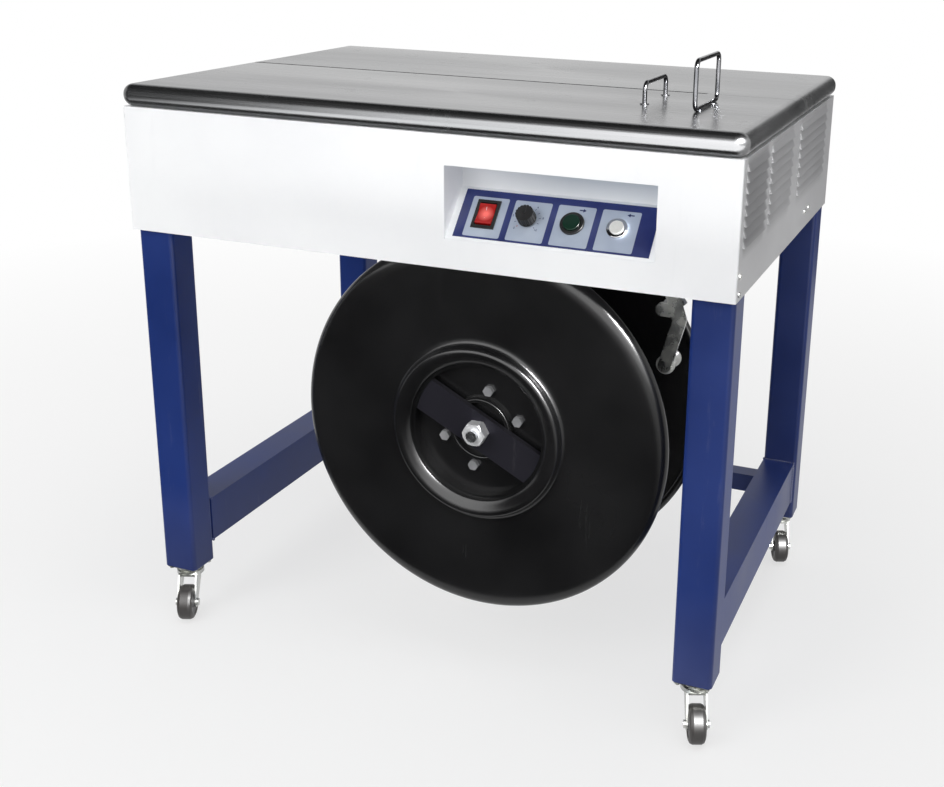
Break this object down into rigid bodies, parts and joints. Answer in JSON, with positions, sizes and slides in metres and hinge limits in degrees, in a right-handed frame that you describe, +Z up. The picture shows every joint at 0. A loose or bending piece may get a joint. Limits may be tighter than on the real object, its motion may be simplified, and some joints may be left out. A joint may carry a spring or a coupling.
{
  "type": "strapping machine",
  "caption": "Semi-automatic table-top strapping machine: steel cabinet with a hinged stainless table, strap slot, controls and strap reel on a tube leg frame with swivel casters.",
  "frame": {"origin": "on the floor, at the middle of the machine's outline", "axes": "+X along the table to the operator's right, +Y from the operator to the back, +Z up"},
  "size_m": [0.86, 0.6294, 0.871],
  "materials": {
    "stainless": "brushed and polished stainless sheet",
    "cabinet_paint": "smooth off-white powder coat",
    "side_paint": "pale grey powder coat",
    "leg_paint": "satin deep blue enamel",
    "reel_plastic": "black moulded plastic, satin",
    "chrome_wire": "bright wire",
    "chrome_trim": "bright plating",
    "zinc": "zinc plate",
    "bearing_steel": "ground steel",
    "cast_metal": "machined casting",
    "motor_paint": "dark grey enamel",
    "overlay_foil": "printed foil, dark blue frame with pale squares",
    "black_plastic": "black plastic",
    "red_plastic": "translucent red",
    "green_plastic": "dark green",
    "white_plastic": "white",
    "rubber_cover": "rubber cover",
    "caster_tread": "dark tread on a grey hub"
  },
  "bodies": {
    "root": {"table_front_plate": "stainless", "lid_hinge_fixed_leaves": "zinc", "lid_hinge_pins": "zinc", "wire_loop_low": "chrome_wire", "wire_loop_tall": "chrome_wire", "front_panel": "cabinet_paint", "back_panel": "cabinet_paint", "right_side_panel": "side_paint", "left_side_panel": "side_paint", "base_tray": "side_paint", "mains_gland": "black_plastic", "control_recess": "cabinet_paint", "control_overlay": "overlay_foil", "switch_housing": "black_plastic", "timer_body": "zinc", "green_button_bezel": "black_plastic", "white_button_bezel": "chrome_trim", "leg_front_right": "leg_paint", "leg_front_left": "leg_paint", "leg_back_right": "leg_paint", "leg_back_left": "leg_paint", "side_stretcher_right": "leg_paint", "side_stretcher_left": "leg_paint", "rear_stretcher": "leg_paint", "upper_frame": "leg_paint", "reel_bracket": "leg_paint", "reel_bearings": "bearing_steel", "brake_clevis": "zinc", "caster_plates": "zinc", "head_frame": "cast_metal", "drive_motor": "motor_paint", "control_box": "side_paint"},
    "lid": {"table_rear_lid": "stainless", "lid_hinge_moving_leaves": "zinc"},
    "reel": {"reel_shaft": "bearing_steel", "reel_drum": "reel_plastic", "reel_front_flange": "reel_plastic", "reel_rear_flange": "reel_plastic", "reel_crossbar": "reel_plastic", "reel_nut": "chrome_trim", "hub_bolts": "chrome_trim"},
    "brake": {"brake_lever": "zinc"},
    "guide": {"guide_roller": "white_plastic"},
    "rocker": {"power_rocker": "red_plastic"},
    "knob": {"timer_knob": "black_plastic"},
    "green": {"green_button": "green_plastic"},
    "white": {"white_button": "white_plastic"},
    "cams": {"cam_shaft": "bearing_steel"},
    "feed": {"feed_roller": "rubber_cover"},
    "platen": {"press_platen": "bearing_steel"},
    "gripper": {"strap_gripper": "bearing_steel"},
    "anvil": {"slide_anvil": "bearing_steel"},
    "fork_front_left": {"caster_fork_front_left": "zinc"},
    "wheel_front_left": {"caster_wheel_front_left": "caster_tread"},
    "fork_front_right": {"caster_fork_front_right": "zinc"},
    "wheel_front_right": {"caster_wheel_front_right": "caster_tread"},
    "fork_back_left": {"caster_fork_back_left": "zinc"},
    "wheel_back_left": {"caster_wheel_back_left": "caster_tread"},
    "fork_back_right": {"caster_fork_back_right": "zinc"},
    "wheel_back_right": {"caster_wheel_back_right": "caster_tread"}
  },
  "joints": [
    {"name": "lid_hinge", "type": "hinge", "parent": "root", "child": "lid", "pos_m": [0, 0.31066, 0.771], "axis": [-1, 0, 0], "range_deg": [0, 80]},
    {"name": "reel_spin", "type": "hinge", "parent": "root", "child": "reel", "pos_m": [0.07, -0.23534, 0.362], "axis": [0, 1, 0], "continuous": true},
    {"name": "brake_swing", "type": "hinge", "parent": "root", "child": "brake", "pos_m": [0.297, -0.13534, 0.585], "axis": [0, -1, 0], "range_deg": [0, 25], "stiffness_Nm_per_rad": 2, "springref_deg": -11.46},
    {"name": "guide_spin", "type": "hinge", "parent": "brake", "child": "guide", "pos_m": [0.29988, -0.11834, 0.45769], "axis": [0, 1, 0], "continuous": true},
    {"name": "rocker_tilt", "type": "hinge", "parent": "root", "child": "rocker", "pos_m": [0.097, -0.26772, 0.67102], "axis": [-1, 0, 0], "range_deg": [0, 16]},
    {"name": "timer_turn", "type": "hinge", "parent": "root", "child": "knob", "pos_m": [0.153, -0.26934, 0.6725], "axis": [0, -0.7388, 0.674], "range_deg": [-135, 135]},
    {"name": "green_press", "type": "slide", "parent": "root", "child": "green", "axis": [0, 0.7388, -0.674], "range_m": [0, 0.003], "stiffness_N_per_m": 600, "springref_m": -0.002},
    {"name": "white_press", "type": "slide", "parent": "root", "child": "white", "axis": [0, 0.7388, -0.674], "range_m": [0, 0.003], "stiffness_N_per_m": 600, "springref_m": -0.002},
    {"name": "cam_turn", "type": "hinge", "parent": "root", "child": "cams", "pos_m": [0.26, 0.01366, 0.69], "axis": [0, 1, 0], "continuous": true},
    {"name": "feed_turn", "type": "hinge", "parent": "root", "child": "feed", "pos_m": [0.3, 0.01366, 0.715], "axis": [0, 1, 0], "continuous": true},
    {"name": "platen_lift", "type": "slide", "parent": "root", "child": "platen", "axis": [0, 0, 1], "range_m": [0, 0.003]},
    {"name": "gripper_lift", "type": "slide", "parent": "root", "child": "gripper", "axis": [0, 0, 1], "range_m": [0, 0.003]},
    {"name": "anvil_slide", "type": "slide", "parent": "root", "child": "anvil", "axis": [0, 1, 0], "range_m": [0, 0.025]},
    {"name": "swivel_front_left", "type": "hinge", "parent": "root", "child": "fork_front_left", "pos_m": [-0.398, -0.26234, 0.0637], "axis": [0, 0, 1], "continuous": true},
    {"name": "roll_front_left", "type": "hinge", "parent": "fork_front_left", "child": "wheel_front_left", "pos_m": [-0.38751, -0.2883, 0.026], "axis": [0.9272, 0.3746, 0], "continuous": true},
    {"name": "swivel_front_right", "type": "hinge", "parent": "root", "child": "fork_front_right", "pos_m": [0.398, -0.26234, 0.0637], "axis": [0, 0, 1], "continuous": true},
    {"name": "roll_front_right", "type": "hinge", "parent": "fork_front_right", "child": "wheel_front_right", "pos_m": [0.40849, -0.2883, 0.026], "axis": [0.9272, 0.3746, 0], "continuous": true},
    {"name": "swivel_back_left", "type": "hinge", "parent": "root", "child": "fork_back_left", "pos_m": [-0.398, 0.27166, 0.0637], "axis": [0, 0, 1], "continuous": true},
    {"name": "roll_back_left", "type": "hinge", "parent": "fork_back_left", "child": "wheel_back_left", "pos_m": [-0.38751, 0.2457, 0.026], "axis": [0.9272, 0.3746, 0], "continuous": true},
    {"name": "swivel_back_right", "type": "hinge", "parent": "root", "child": "fork_back_right", "pos_m": [0.398, 0.27166, 0.0637], "axis": [0, 0, 1], "continuous": true},
    {"name": "roll_back_right", "type": "hinge", "parent": "fork_back_right", "child": "wheel_back_right", "pos_m": [0.40849, 0.2457, 0.026], "axis": [0.9272, 0.3746, 0], "continuous": true}
  ]
}
